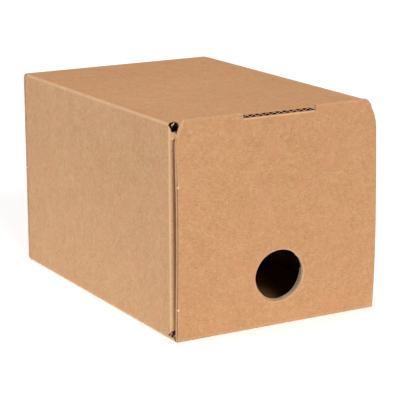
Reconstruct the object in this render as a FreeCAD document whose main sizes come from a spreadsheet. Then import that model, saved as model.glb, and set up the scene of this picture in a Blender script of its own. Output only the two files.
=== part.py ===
import FreeCAD, Part
import Sketcher
import os

# A bag-in-box carton: one die-cut blank of corrugated board, folded into a glued tube that lies
# on its longer wall. The back end is glued shut. The front end closes with an inner flap over two
# dust flaps, and an outer flap with the tap hole swings up from the bottom crease and locks with
# a tab in the top slot. Units are millimetres, +Z is up and the front faces -Y.
#
# Each sub-part is drawn with its front plane at y = 0 and its base at z = 0, and its Placement
# moves it back so that the carton is centred on the origin.

SIZES = {
    # The closed carton.
    "carton_width": 166.0,
    "carton_height": 152.0,
    "carton_depth": 248.0,
    "board": 2.8,
    # Folds and clearances.
    "fold_inside": 0.6,
    "running_gap": 0.3,
    "layer_gap": 0.2,
    "edge_inset": 0.4,
    # Outer front flap.
    "flap_rise": 3.4,
    "flap_side_inset": 1.4,
    "flap_corner_inset": 8.9,
    "flap_corner_radius": 33.0,
    # Locking tab of the outer front flap, and its slot.
    "tab_width": 58.0,
    "tab_length": 14.0,
    "tab_fall": 0.364,
    "tab_clearance": 0.6,
    "tab_tip_radius": 7.0,
    "slot_end_play": 2.5,
    "slot_margin": 3.5,
    # Tap hole.
    "tap_hole_diameter": 38.0,
    "tap_hole_height": 36.5,
    "throat_rise": 30.0,
    # Inner front flap and front dust flaps.
    "inner_flap_inset": 6.0,
    "inner_flap_foot": 1.5,
    "dust_flap_margin": 11.7,
    "dust_flap_top_inset": 5.5,
    "dust_flap_bottom_inset": 7.0,
    "relief_margin": 1.7,
    # Glued back end and glue lap.
    "back_seam": 1.0,
    "back_dust_spacing": 26.0,
    "glue_press": 0.2,
    "lap_width": 30.0,
    "lap_end_inset": 18.0,
    "lap_taper": 5.0,
}

SHEET = "Sizes"


class Length:
    """A value together with the spreadsheet expression that gives it."""

    def __init__(self, value, text):
        self.value = float(value)
        self.text = text

    def _join(self, other, sign, value):
        return Length(value, f"({self.text} {sign} {as_length(other).text})")

    def __add__(self, other):
        return self._join(other, "+", self.value + as_length(other).value)

    def __sub__(self, other):
        return self._join(other, "-", self.value - as_length(other).value)

    def __mul__(self, other):
        return self._join(other, "*", self.value * as_length(other).value)

    def __truediv__(self, other):
        return self._join(other, "/", self.value / as_length(other).value)

    def __neg__(self):
        return Length(-self.value, f"(-1 * {self.text})")

    def root(self):
        return Length(self.value ** 0.5, f"sqrt({self.text})")


def as_length(number):
    if isinstance(number, Length):
        return number
    return Length(number, repr(float(number)))


def make_sheet(doc):
    """Write the driving dimensions to the sheet and return them as Lengths by name."""
    sheet = doc.addObject("Spreadsheet::Sheet", SHEET)
    for row, (name, value) in enumerate(SIZES.items(), start=1):
        sheet.set(f"A{row}", name)
        sheet.set(f"B{row}", str(value))
        sheet.setAlias(f"B{row}", name)
    doc.recompute()
    return {name: Length(value, f"{SHEET}.{name}") for name, value in SIZES.items()}


def bind(target, path, length):
    """Give a property its value and, where it depends on the sheet, its expression."""
    length = as_length(length)
    if SHEET in length.text:
        target.setExpression(path, length.text)
    return length.value


def new_body(doc, label, depth):
    body = doc.addObject("PartDesign::Body", label)
    body.Label = label
    bind(body, "Placement.Base.y", -(depth / 2))
    return body


def new_sketch(body, name, plane, offset=None):
    """A sketch on one of the body's origin planes, moved along the plane's normal."""
    sketch = body.newObject("Sketcher::SketchObject", name)
    for feature in body.Origin.OriginFeatures:
        if feature.Role == plane:
            sketch.AttachmentSupport = [(feature, "")]
    sketch.MapMode = "FlatFace"
    if offset is not None:
        bind(sketch, "AttachmentOffset.Base.z", offset)
    return sketch


def draw_outline(sketch, points, arcs=None):
    """Draw a closed outline through the points, each placed by the sheet.

    arcs gives, for the side that starts at a point, the arc's centre, its radius and whether it
    turns anticlockwise; the other sides are straight. An arc is held by its ends and by its
    centre's distance along the axis that its chord crosses.
    """
    arcs = arcs or {}
    points = [(as_length(across), as_length(along)) for across, along in points]
    sides = []
    for index, (across, along) in enumerate(points):
        start = FreeCAD.Vector(across.value, along.value, 0)
        next_across, next_along = points[(index + 1) % len(points)]
        end = FreeCAD.Vector(next_across.value, next_along.value, 0)
        if index in arcs:
            centre, radius, anticlockwise = arcs[index]
            middle = FreeCAD.Vector(as_length(centre[0]).value, as_length(centre[1]).value, 0)
            first, last = (start, end) if anticlockwise else (end, start)
            circle = Part.Circle(middle, FreeCAD.Vector(0, 0, 1), radius.value)
            curve = Part.ArcOfCircle(circle, circle.parameter(first), circle.parameter(last))
            side = sketch.addGeometry(curve, False)
            sides.append((side, 1, 2) if anticlockwise else (side, 2, 1))
        else:
            sides.append((sketch.addGeometry(Part.LineSegment(start, end), False), 1, 2))
    for index, (across, along) in enumerate(points):
        side, start_end, _ = sides[index]
        before, _, finish_end = sides[index - 1]
        sketch.addConstraint(Sketcher.Constraint("Coincident", before, finish_end, side, start_end))
        place_point(sketch, side, start_end, across, along)
        if index in arcs:
            next_across, next_along = points[(index + 1) % len(points)]
            level = abs(next_across.value - across.value) >= abs(next_along.value - along.value)
            centre = arcs[index][0]
            if level:
                place(sketch, "DistanceY", side, 3, centre[1])
            else:
                place(sketch, "DistanceX", side, 3, centre[0])


def draw_circle(sketch, across, along, radius):
    across, along, radius = as_length(across), as_length(along), as_length(radius)
    centre = FreeCAD.Vector(across.value, along.value, 0)
    circle = Part.Circle(centre, FreeCAD.Vector(0, 0, 1), radius.value)
    side = sketch.addGeometry(circle, False)
    place_point(sketch, side, 3, across, along)
    hold(sketch, Sketcher.Constraint("Radius", side, radius.value), radius)


def place_point(sketch, side, end, across, along):
    """Hold one end or the centre of a side at its distances from the sketch's origin."""
    place(sketch, "DistanceX", side, end, across)
    place(sketch, "DistanceY", side, end, along)


def place(sketch, direction, side, end, length):
    length = as_length(length)
    hold(sketch, Sketcher.Constraint(direction, -1, 1, side, end, length.value), length)


def hold(sketch, constraint, length):
    index = sketch.addConstraint(constraint)
    if SHEET in length.text:
        sketch.setExpression(f"Constraints[{index}]", length.text)


def pad(body, sketch, length, both_ways=False, backwards=False):
    feature = body.newObject("PartDesign::Pad", sketch.Name + "_pad")
    feature.Profile = sketch
    feature.Length = bind(feature, "Length", length)
    feature.Reversed = backwards
    feature.SideType = "Symmetric" if both_ways else "One side"
    sketch.Visibility = False
    return feature


def pocket(doc, body, sketch, length, both_ways=False):
    """Cut the sketch out of the body, and make sure that it took material away."""
    doc.recompute()
    before = body.Shape.Volume
    feature = body.newObject("PartDesign::Pocket", sketch.Name + "_cut")
    feature.Profile = sketch
    feature.Length = bind(feature, "Length", length)
    feature.SideType = "Symmetric" if both_ways else "One side"
    sketch.Visibility = False
    doc.recompute()
    if not body.Shape.Volume < before:
        raise RuntimeError(f"{feature.Name} cuts nothing")
    return feature


def round_edges(doc, body, name, radius, chosen):
    """Fillet the edges of the body's last feature for which chosen is true."""
    doc.recompute()
    base = body.Tip
    names = [f"Edge{i}" for i, edge in enumerate(base.Shape.Edges, start=1) if chosen(edge)]
    if not names:
        raise RuntimeError(f"{name} finds no edge")
    fillet = body.newObject("PartDesign::Fillet", name)
    fillet.Base = (base, names)
    fillet.Radius = bind(fillet, "Radius", radius)
    doc.recompute()
    return fillet


def near(first, second):
    return abs(first - second) < 0.01


def rounded_frame(sketch, left, right, low, high, radius):
    """A rectangle with equally rounded corners."""
    points = [
        (left + radius, low),
        (right - radius, low),
        (right, low + radius),
        (right, high - radius),
        (right - radius, high),
        (left + radius, high),
        (left, high - radius),
        (left, low + radius),
    ]
    arcs = {
        1: ((right - radius, low + radius), radius, True),
        3: ((right - radius, high - radius), radius, True),
        5: ((left + radius, high - radius), radius, True),
        7: ((left + radius, low + radius), radius, True),
    }
    draw_outline(sketch, points, arcs)


def folded_strip(sketch, wall, wall_end, face, face_end, board, inside, to_wall, to_face):
    """The section of a wall that folds square into a flap.

    The wall's outer side is the line across = wall and it starts at along = wall_end. The flap's
    outer side is the line along = face and it ends at across = face_end. to_wall and to_face are
    +1 or -1: the directions in which the outside of the wall and of the flap look.
    """
    outside = inside + board
    centre = (wall - outside * to_wall, face - outside * to_face)
    points = [
        (wall, wall_end),
        (wall, centre[1]),
        (centre[0], face),
        (face_end, face),
        (face_end, face - board * to_face),
        (centre[0], face - board * to_face),
        (wall - board * to_wall, centre[1]),
        (wall - board * to_wall, wall_end),
    ]
    turn = to_wall * to_face > 0
    draw_outline(sketch, points, {1: (centre, outside, turn), 5: (centre, inside, not turn)})


def folded_strip_across(sketch, face, face_end, wall, wall_end, board, inside, to_face, to_wall):
    """The same section for a level wall: the wall's outside is along = wall."""
    outside = inside + board
    centre = (face - outside * to_face, wall - outside * to_wall)
    points = [
        (wall_end, wall),
        (centre[0], wall),
        (face, centre[1]),
        (face, face_end),
        (face - board * to_face, face_end),
        (face - board * to_face, centre[1]),
        (centre[0], wall - board * to_wall),
        (wall_end, wall - board * to_wall),
    ]
    turn = to_wall * to_face < 0
    draw_outline(sketch, points, {1: (centre, outside, turn), 5: (centre, inside, not turn)})


def front_layers(size):
    """Distances behind the front plane at which the layers of the front end lie."""
    board = size["board"]
    fold_outside = size["fold_inside"] + board
    inner_face = board + size["running_gap"]
    dust_face = inner_face + board + size["layer_gap"]
    return {
        "inner_face": inner_face,
        "dust_face": dust_face,
        "slot_back": inner_face + fold_outside + size["slot_margin"],
        "tube_front": dust_face + fold_outside + size["relief_margin"],
    }


def make_carton_body(doc, size):
    """The glued tube with everything that stays put: back end, dust flaps and inner flap."""
    board = size["board"]
    inside = size["fold_inside"]
    gap = size["running_gap"]
    press = size["glue_press"]
    half_width = size["carton_width"] / 2
    height = size["carton_height"]
    depth = size["carton_depth"]
    layers = front_layers(size)
    throat_half = size["tap_hole_diameter"] / 2 + gap
    body = new_body(doc, "carton_body", depth)

    # The four walls, between the front reliefs and the folds of the back dust flaps.
    tube_front = layers["tube_front"]
    tube_back = depth - board - board - inside
    tube = new_sketch(body, "tube", "XZ_Plane", -tube_front)
    rounded_frame(tube, -half_width, half_width, as_length(0), height, inside + board)
    rounded_frame(tube, -half_width + board, half_width - board, board, height - board, inside)
    pad(body, tube, tube_back - tube_front, backwards=True)

    # Glue lap: a tongue at the bottom edge, glued up the inside of the right wall.
    lap_foot = board + inside * 2
    lap_top = board + size["lap_width"]
    lap_start = tube_front + size["lap_end_inset"]
    lap_end = tube_back - size["lap_end_inset"]
    glue_lap = new_sketch(body, "glue_lap", "YZ_Plane", half_width - board * 2 + press)
    draw_outline(
        glue_lap,
        [
            (lap_start, lap_foot),
            (lap_end, lap_foot),
            (lap_end - size["lap_taper"], lap_top),
            (lap_start + size["lap_taper"], lap_top),
        ],
    )
    pad(body, glue_lap, board)

    # Inner front flap, folded down from the top wall just behind the outer flap.
    inner_flap = new_sketch(body, "inner_flap", "YZ_Plane")
    folded_strip_across(
        inner_flap, layers["inner_face"], board + size["inner_flap_foot"], height, tube_front,
        board, inside, -1, 1,
    )
    pad(body, inner_flap, (half_width - size["inner_flap_inset"]) * 2, both_ways=True)

    # Front dust flaps, folded in from the side walls behind the inner flap, clear of the tap.
    dust_end = throat_half + size["dust_flap_margin"]
    dust_bottom = size["dust_flap_bottom_inset"]
    dust_top = height - size["dust_flap_top_inset"]
    dust_flaps = new_sketch(body, "dust_flaps", "XY_Plane", dust_bottom)
    for side in (-1, 1):
        folded_strip(
            dust_flaps, half_width * side, tube_front, layers["dust_face"], dust_end * side,
            board, inside, side, -1,
        )
    pad(body, dust_flaps, dust_top - dust_bottom)

    # Front of the bottom wall, hollowed for the rolled crease of the outer flap.
    seat_radius = board / 2 + gap
    seat_foot = board / 2 + (seat_radius * seat_radius - board * board / 4).root()
    sill = new_sketch(body, "sill", "YZ_Plane")
    draw_outline(
        sill,
        [
            (tube_front, 0),
            (tube_front, board),
            (board + gap, board),
            (board + gap, board / 2),
            (seat_foot, 0),
        ],
        {3: ((board / 2, board / 2), seat_radius, False)},
    )
    pad(body, sill, half_width * 2, both_ways=True)

    # Back outer flaps, from the top and bottom walls, which meet at half height.
    back_flaps = new_sketch(body, "back_flaps", "YZ_Plane")
    seam_half = size["back_seam"] / 2
    for wall, face_end, side in (
        (height, height / 2 + seam_half, 1),
        (as_length(0), height / 2 - seam_half, -1),
    ):
        folded_strip_across(
            back_flaps, depth, face_end, wall, tube_back, board, inside, 1, side,
        )
    pad(body, back_flaps, (half_width - size["edge_inset"]) * 2, both_ways=True)

    # Back dust flaps, glued to the inside of the outer ones and pressed a little into them.
    back_dust_end = size["back_dust_spacing"] / 2
    back_dust = new_sketch(body, "back_dust_flaps", "XY_Plane", size["edge_inset"])
    for side in (-1, 1):
        folded_strip(
            back_dust, half_width * side, tube_back, depth - board + press,
            back_dust_end * side, board, inside, side, 1,
        )
    pad(body, back_dust, height - size["edge_inset"] * 2)

    # Slot for the locking tab, cut where the top wall folds into the inner flap.
    slot_back = layers["slot_back"]
    slot_floor = tab_points(size)["tip_under"][1] - gap
    slot = new_sketch(body, "tab_slot", "YZ_Plane")
    draw_outline(
        slot,
        [
            (0, slot_floor),
            (slot_back, slot_floor),
            (slot_back, height + board),
            (0, height + board),
        ],
    )
    pocket(doc, body, slot, size["tab_width"] + size["slot_end_play"] * 2, both_ways=True)

    # Way through the inner flap for the tap: a half round with straight sides above it.
    tap_height = size["tap_hole_height"]
    throat_top = tap_height + size["throat_rise"]
    throat = new_sketch(body, "tap_throat", "XZ_Plane")
    draw_outline(
        throat,
        [
            (throat_half, tap_height),
            (throat_half, throat_top),
            (-throat_half, throat_top),
            (-throat_half, tap_height),
        ],
        {3: ((as_length(0), tap_height), throat_half, True)},
    )
    pocket(doc, body, throat, layers["dust_face"])
    return body


def tab_points(size):
    """Points of the locking tab's section: (distance behind the front, height).

    The tab falls at a steady rate from its fold and passes under the front edge of the top wall,
    which is the back of the slot.
    """
    board = size["board"]
    fall = size["tab_fall"]
    outside = size["fold_inside"] + board
    slot_back = front_layers(size)["slot_back"]
    slant = (fall * fall + 1).root()
    away = fall / slant
    upward = as_length(1) / slant
    fold_end_depth = outside + outside * away
    height_at_slot = size["carton_height"] - board - size["tab_clearance"]
    fold_end = (fold_end_depth, height_at_slot + (slot_back - fold_end_depth) * fall)
    centre = (outside, fold_end[1] - outside * upward)
    tip_top = (slot_back + size["tab_length"], height_at_slot - size["tab_length"] * fall)
    tip_under = (tip_top[0] - board * away, tip_top[1] - board * upward)
    inner_end = (centre[0] + size["fold_inside"] * away, centre[1] + size["fold_inside"] * upward)
    return {
        "centre": centre,
        "fold_end": fold_end,
        "tip_top": tip_top,
        "tip_under": tip_under,
        "inner_end": inner_end,
        "outside": outside,
    }


def make_front_flap(doc, size):
    """The outer front flap: it turns about the bottom crease and carries the tap hole."""
    board = size["board"]
    half_width = size["carton_width"] / 2
    body = new_body(doc, "front_flap", size["carton_depth"])
    tab = tab_points(size)

    # The panel, with rounded top corners and its top edge lowered where the tab folds back.
    side = half_width - size["flap_side_inset"]
    top = size["carton_height"] + size["flap_rise"]
    radius = size["flap_corner_radius"]
    inset = size["flap_corner_inset"]
    corner_start = top - (radius * inset * 2 - inset * inset).root()
    shoulder = side - inset
    half_tab = size["tab_width"] / 2
    tab_root = tab["centre"][1]
    panel = new_sketch(body, "panel", "XZ_Plane")
    draw_outline(
        panel,
        [
            (-side, board / 2),
            (side, board / 2),
            (side, corner_start),
            (shoulder, top),
            (half_tab, top),
            (half_tab, tab_root),
            (-half_tab, tab_root),
            (-half_tab, top),
            (-shoulder, top),
            (-side, corner_start),
        ],
        {
            2: ((side - radius, corner_start), radius, True),
            8: ((-side + radius, corner_start), radius, True),
        },
    )
    pad(body, panel, board, backwards=True)

    # The rolled crease that joins the panel to the bottom wall.
    crease = new_sketch(body, "crease", "YZ_Plane")
    draw_circle(crease, board / 2, board / 2, board / 2)
    pad(body, crease, half_width * 2, both_ways=True)

    # The locking tab, folded back and down under the top wall.
    tab_sketch = new_sketch(body, "locking_tab", "YZ_Plane")
    tab_foot = tab_root - board
    draw_outline(
        tab_sketch,
        [
            (0, tab_foot),
            (board, tab_foot),
            (board, tab_root),
            tab["inner_end"],
            tab["tip_under"],
            tab["tip_top"],
            tab["fold_end"],
            (0, tab_root),
        ],
        {
            2: (tab["centre"], size["fold_inside"], False),
            6: (tab["centre"], tab["outside"], True),
        },
    )
    pad(body, tab_sketch, size["tab_width"], both_ways=True)

    def tab_corner(edge):
        middle = edge.CenterOfMass
        tip = (tab["tip_top"][0] + tab["tip_under"][0]) / 2
        return near(abs(middle.x), half_tab.value) and near(middle.y, tip.value)

    round_edges(doc, body, "tab_corners", size["tab_tip_radius"], tab_corner)

    # The tap hole.
    tap_hole = new_sketch(body, "tap_hole", "XZ_Plane")
    draw_circle(tap_hole, 0, size["tap_hole_height"], size["tap_hole_diameter"] / 2)
    pocket(doc, body, tap_hole, board * 2, both_ways=True)
    return body


def check_document(doc):
    for item in doc.Objects:
        if "Invalid" in item.State or "Error" in item.State:
            raise RuntimeError(f"{item.Name} did not recompute: {item.State}")


def export(body):
    shape = body.Shape
    if shape.isNull() or not shape.isValid() or len(shape.Solids) != 1:
        raise RuntimeError(f"{body.Label} is not one valid solid")
    shape.exportStep(os.path.join("parts", body.Label + ".step"))
    box = shape.BoundBox
    print(
        f"{body.Label}: {shape.Volume / 1000:.1f} cm3,"
        f" x {box.XMin:.2f}..{box.XMax:.2f}"
        f" y {box.YMin:.2f}..{box.YMax:.2f}"
        f" z {box.ZMin:.2f}..{box.ZMax:.2f}"
    )


def main():
    os.makedirs("parts", exist_ok=True)
    doc = FreeCAD.newDocument("bag_in_box_carton")
    size = make_sheet(doc)
    bodies = [make_carton_body(doc, size), make_front_flap(doc, size)]
    doc.recompute()
    check_document(doc)
    for body in bodies:
        export(body)


main()
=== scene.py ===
from collections import namedtuple
import math
import random

import bpy
from mathutils import Matrix, Vector


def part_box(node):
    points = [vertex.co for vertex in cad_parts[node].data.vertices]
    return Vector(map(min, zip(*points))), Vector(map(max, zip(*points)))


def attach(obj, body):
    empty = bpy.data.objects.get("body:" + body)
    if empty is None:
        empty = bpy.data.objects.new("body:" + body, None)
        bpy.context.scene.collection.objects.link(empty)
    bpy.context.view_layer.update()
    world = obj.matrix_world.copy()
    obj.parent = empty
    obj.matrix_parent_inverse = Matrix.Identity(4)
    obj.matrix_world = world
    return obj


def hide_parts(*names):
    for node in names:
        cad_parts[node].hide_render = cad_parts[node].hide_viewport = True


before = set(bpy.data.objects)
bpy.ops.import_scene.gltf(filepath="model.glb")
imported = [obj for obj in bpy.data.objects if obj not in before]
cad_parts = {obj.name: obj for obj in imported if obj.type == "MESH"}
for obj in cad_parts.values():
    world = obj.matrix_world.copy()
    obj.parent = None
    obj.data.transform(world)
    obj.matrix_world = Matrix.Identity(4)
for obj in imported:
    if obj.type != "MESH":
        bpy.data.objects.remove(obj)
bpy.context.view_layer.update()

# A bag-in-box carton of corrugated kraft board. Each panel is built as real board: an outer and
# an inner liner with a fluted sheet between them, cut to its outline and folded along a path.
# Sizes are millimetres: x across, d behind the front plane, z up. to_row turns them into the
# metres of the row frame.

MM = 0.001
_, body_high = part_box("carton_body")
flap_low, flap_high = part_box("front_flap")
HALF_WIDTH = body_high.x / MM
HEIGHT = body_high.z / MM
DEPTH = (body_high.y - flap_low.y) / MM
FRONT = flap_low.y / MM
FLAP_TOP = flap_high.z / MM

# Board and soft folds, as in the CAD part.
BOARD = 2.8
FOLD_INSIDE = 0.6
FOLD_OUTSIDE = BOARD + FOLD_INSIDE
RUNNING_GAP = 0.3

# Scored creases are pressed thinner, so they turn more sharply than the soft folds. CREASE_CORE is
# their radius inside, and at CREASE_FADE from the crease the board has its full thickness again.
CREASE_RADIUS = 1.4
CREASE_CORE = 0.1
CREASE_FADE = 2.2

# Papers of the board, and the places of a crest: from the carton's middle, and from u = 0 on the
# boards that come off the side walls. Closed flutes stay PAPER_GAP off the liners.
LINER = 0.40
FLUTE_PAPER = 0.34
PAPER_GAP = 0.02
PITCH = 5.58
FLUTE_CREST = 1.9
SIDE_CREST = 0.4

# How finely the papers are cut: per flute, per fold, beside a crease and over a bulging panel.
FLUTE_STEPS = 10
ARC_STEPS = 8
FADES = [CREASE_FADE * i / 4 for i in range(1, 5)]
PANEL_STEP = 6.0

# How far a cut edge is pressed together from each face, and the shares of it at the lines of its
# margin, from the edge inwards.
PRESS_OUTSIDE = 0.22
PRESS_INSIDE = 0.12
PRESS_BANDS = (1.0, 0.66, 0.33, 0.0)

# Layers of the front end, behind the front plane.
INNER_FACE = BOARD + RUNNING_GAP
DUST_GAP = 0.8
DUST_FACE = INNER_FACE + BOARD + DUST_GAP
DUST_FOLD = 2.8
SLOT_SPARE = 4.5
SLOT_BACK = INNER_FACE + FOLD_OUTSIDE + SLOT_SPARE
TUBE_FRONT = 12.6
TUBE_BACK = DEPTH - BOARD * 2 - FOLD_INSIDE

# Reliefs cut at the top front corners: how far behind the front plane they end on the side wall,
# and their points on the top wall, as distances from the long crease and from the front plane.
RELIEF_WIDTH = 6.3
LEFT_RELIEF = 9.7
LEFT_NOTCH = ((0.0, 10.6), (2.2, 13.1), (5.7, 14.6))
RIGHT_RELIEF = 11.2
RIGHT_NOTCH = ((0.0, 12.3), (2.4, 13.6), (5.4, 14.2))

# Outer flap. It sits a little to the left of the middle and bulges forward. The bulge is deepest
# near mid height, lower on the right, where it is also a little deeper.
FRONT_LIFT = 0.6
FLAP_INSET = 1.15
FLAP_HALF = HALF_WIDTH - FLAP_INSET
FLAP_SHIFT = -0.75
FLAP_LEFT = FLAP_SHIFT - FLAP_HALF
FLAP_RIGHT = FLAP_SHIFT + FLAP_HALF
FLAP_ROOT = BOARD / 2 + 1.0
LEFT_INSET = 7.3
RIGHT_INSET = 8.1
CORNER_RADIUS = 33.0
BOW_DEPTH = 2.2
BOW_TILT = 0.2
BOW_PEAK = 0.97
BOW_TWIST = 0.22
BOW_HEIGHT = HEIGHT - 4.0

# Locking tab with its notch and slot, and the tap hole with the die's three small nicks, at
# these angles and as a share of the hole's radius.
TAB_HALF = 29.0
TAB_LENGTH = 13.0
TAB_FALL = 0.29
TAB_TIP_RADIUS = 7.0
TAB_CLEARANCE = 0.5
TAB_JOINT = -0.8
NOTCH_HALF = TAB_HALF + 0.8
SLOT_HALF = TAB_HALF + 2.5
SLOT_FLOOR = 141.0
TAP_HALF_WIDTH = 19.85
TAP_HALF_HEIGHT = 18.95
TAP_HEIGHT = 36.6
TAP_POINTS = 144
NICKS = (42.0, 220.0, 268.0)
NICK_REACH = 4.0
NICK_DEPTH = 0.036

# Inner flap, dust flaps and back end.
INNER_HALF = HALF_WIDTH - 6.0
INNER_FOOT = BOARD + 1.5
INNER_CORNER = 3.0
THROAT_RADIUS = 19.3
THROAT_SHIFT = 1.4
THROAT_HEIGHT = 37.1
THROAT_SHOULDER = 2.2
THROAT_RISE = 30.0
THROAT_CORNER = 2.0
DUST_END = THROAT_RADIUS + 11.7
DUST_TOP = HEIGHT - 5.5
DUST_BOTTOM = 7.0
BACK_SEAM = 0.6
BACK_DUST_END = 13.0
GLUE_PRESS = 0.2
LAP_WIDTH = 30.0
LAP_INSET = 18.0
LAP_TAPER = 5.0
EDGE_INSET = 0.1

rng = random.Random(7)


def to_row(x, d, z):
    """Millimetres of the carton to metres of the row frame. The front end is a little taller."""
    z *= 1.0 + FRONT_LIFT / HEIGHT * (1.0 - d / DEPTH)
    return (x * MM, (FRONT + d) * MM, z * MM)


def add_object(name, data):
    """A new object, linked to the scene."""
    item = bpy.data.objects.new(name, data)
    bpy.context.scene.collection.objects.link(item)
    return item


# ---- outlines and cells


def same(a, b, tolerance=1e-6):
    return abs(a - b) < tolerance


def key(point):
    """The name of a point, the same for points that coincide."""
    return (round(point[0], 5), round(point[1], 5))


def distinct(points):
    """The points of a closed chain without those that coincide with the one before."""
    return [p for i, p in enumerate(points) if key(p) != key(points[i - 1])]


def sides(loop):
    """The sides of a loop, each as its two ends."""
    return list(zip(loop, loop[1:] + loop[:1]))


def eased(t):
    t = min(1.0, max(0.0, t))
    return t * t * (3 - 2 * t)


def steps(start, end, size):
    """Values from start to end, no more than size apart."""
    count = max(1, math.ceil(abs(end - start) / size))
    return [start + (end - start) * i / count for i in range(count + 1)]


def arc(centre, radius, start, end, count):
    """Points of an arc, angles in degrees."""
    points = []
    for i in range(count + 1):
        angle = math.radians(start + (end - start) * i / count)
        points.append((centre[0] + radius * math.cos(angle), centre[1] + radius * math.sin(angle)))
    return points


def mirrored(points):
    return [(-u, v) for u, v in reversed(points)]


def between_points(a, b, t):
    """The point at the share t of the way from a to b."""
    return (a[0] + (b[0] - a[0]) * t, a[1] + (b[1] - a[1]) * t)


def oriented(loops):
    """The loops with the board on the left of each side: the first is the outline."""
    out = []
    for i, loop in enumerate(loops):
        points = distinct([(round(u, 6), round(v, 6)) for u, v in loop])
        area = sum(a[0] * b[1] - b[0] * a[1] for a, b in sides(points))
        out.append(points if (area > 0) == (i == 0) else points[::-1])
    return out


def inset(loop, widths):
    """The loop moved inwards, each side by its own width."""
    normals = []
    for a, b in sides(loop):
        length = math.hypot(b[0] - a[0], b[1] - a[1])
        normals.append((-(b[1] - a[1]) / length, (b[0] - a[0]) / length))
    out = []
    for i, point in enumerate(loop):
        before, after = normals[i - 1], normals[i]
        cross = before[0] * after[1] - before[1] * after[0]
        if abs(cross) < 0.02:
            out.append((point[0] + after[0] * widths[i], point[1] + after[1] * widths[i]))
            continue
        first = before[0] * point[0] + before[1] * point[1] + widths[i - 1]
        second = after[0] * point[0] + after[1] * point[1] + widths[i]
        out.append((
            (first * after[1] - second * before[1]) / cross,
            (second * before[0] - first * after[0]) / cross,
        ))
    return out


def split_edges(edges, lines, axis):
    """Adds a point wherever an edge crosses one of the lines of constant coordinate."""
    out = []
    for a, b, owner in edges:
        low, high = sorted((a[axis], b[axis]))
        cuts = [c for c in lines if low + 1e-6 < c < high - 1e-6]
        cuts.sort(reverse=a[axis] > b[axis])
        points = [a]
        for c in cuts:
            p = list(between_points(a, b, (c - a[axis]) / (b[axis] - a[axis])))
            p[axis] = c
            points.append(tuple(p))
        points.append(b)
        out += [(p, q, owner) for p, q in zip(points, points[1:])]
    return out


def unique(values):
    """The values in order, without near repeats."""
    out = []
    for value in sorted(values):
        if not out or value - out[-1] > 1e-5:
            out.append(value)
    return out


def cut_cells(loops, across, along):
    """Cuts an outline with holes along lines of constant u and v.

    Returns the cells, each a list of (u, v), and the outline's edges, cut at the same points,
    each with the number of its loop and of its side there.
    """
    edges = []
    for i, loop in enumerate(loops):
        points = [(round(u, 6), round(v, 6)) for u, v in loop]
        for j, (a, b) in enumerate(sides(points)):
            if key(a) != key(b):
                edges.append((a, b, (i, j)))
    edges = split_edges(edges, along, 1)
    left = min(e[0][0] for e in edges)
    right = max(e[0][0] for e in edges)
    columns = unique([e[0][0] for e in edges] + [u for u in across if left < u < right])
    edges = split_edges(edges, columns, 0)

    spanning = {}
    for a, b, _ in edges:
        if not same(a[0], b[0]):
            lower, upper = (a, b) if a[0] < b[0] else (b, a)
            spanning.setdefault(round(lower[0], 4), []).append((lower, upper))
    raw = []
    on_line = {}
    for u0, u1 in zip(columns, columns[1:]):
        crossing = spanning.get(round(u0, 4), [])
        crossing.sort(key=lambda e: e[0][1] + e[1][1])
        for below, above in zip(crossing[::2], crossing[1::2]):
            bottom, top = ((a[1], b[1]) for a, b in (below, above))
            inside = [v for v in along if max(bottom) + 1e-6 < v < min(top) - 1e-6]
            levels = [bottom] + [(v, v) for v in sorted(inside)] + [top]
            for low, high in zip(levels, levels[1:]):
                raw.append((u0, u1, low, high))
            for a, b in levels:
                on_line.setdefault(round(u0, 4), set()).add(round(a, 5))
                on_line.setdefault(round(u1, 4), set()).add(round(b, 5))

    def between(u, low, high):
        return [v for v in sorted(on_line[round(u, 4)]) if low + 1e-5 < v < high - 1e-5]

    cells = []
    for u0, u1, low, high in raw:
        cell = [(u0, low[0]), (u1, low[1])]
        cell += [(u1, v) for v in between(u1, low[1], high[1])]
        cell += [(u1, high[1]), (u0, high[0])]
        cell += [(u0, v) for v in reversed(between(u0, low[0], high[0]))]
        cell = distinct(cell)
        if len(cell) > 2:
            cells.append(cell)
    rims = []
    for a, b, owner in edges:
        if same(a[0], b[0]):
            low, high = sorted((a[1], b[1]))
            stops = [a[1]] + sorted(between(a[0], low, high), reverse=a[1] > b[1]) + [b[1]]
            rims += [((a[0], p), (a[0], q), owner) for p, q in zip(stops, stops[1:])]
        else:
            rims.append((a, b, owner))
    return cells, rims


def press_rims(cells, rims, outer, inner, widths):
    """Adds the pressed bands between the inset rims and the cut edges.

    Returns the rims of the cut edges and how far each band point is pressed, from 0 to 1.
    """
    pressed = {}
    cut_rims = []

    def outwards(point, owner):
        """The points from the inset rim to the cut edge."""
        i, j = owner
        after = (j + 1) % len(outer[i])
        a, b = inner[i][j], inner[i][after]
        t = math.dist(a, point) / max(math.dist(a, b), 1e-9)
        target = between_points(outer[i][j], outer[i][after], min(t, 1.0))
        return [between_points(target, point, 1.0 - share) for share in PRESS_BANDS]

    def at_joint(point, owner, corner):
        """The same points where a joint ends in a cut edge, and otherwise the point alone."""
        i, j = owner
        on_corner = key(point) == key(inner[i][(j + corner) % len(inner[i])])
        return outwards(point, owner) if on_corner else [point]

    for a, b, owner in rims:
        if widths[owner[0]][owner[1]] > 0:
            first, second = outwards(a, owner), outwards(b, owner)
            for k in range(len(PRESS_BANDS) - 1):
                cell = distinct([first[k], second[k], second[k + 1], first[k + 1]])
                if len(cell) > 2:
                    cells.append(cell)
                for point in (first[k], second[k]):
                    pressed[key(point)] = (PRESS_BANDS[k], owner[0])
            cut_rims.append((first[0], second[0], owner[0]))
        else:
            chain = at_joint(a, owner, 0) + at_joint(b, owner, 1)[::-1]
            ends = [(p, q) for p, q in zip(chain, chain[1:]) if key(p) != key(q)]
            cut_rims += [(p, q, owner[0]) for p, q in ends]
    return cut_rims, pressed


# ---- building the papers


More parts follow.
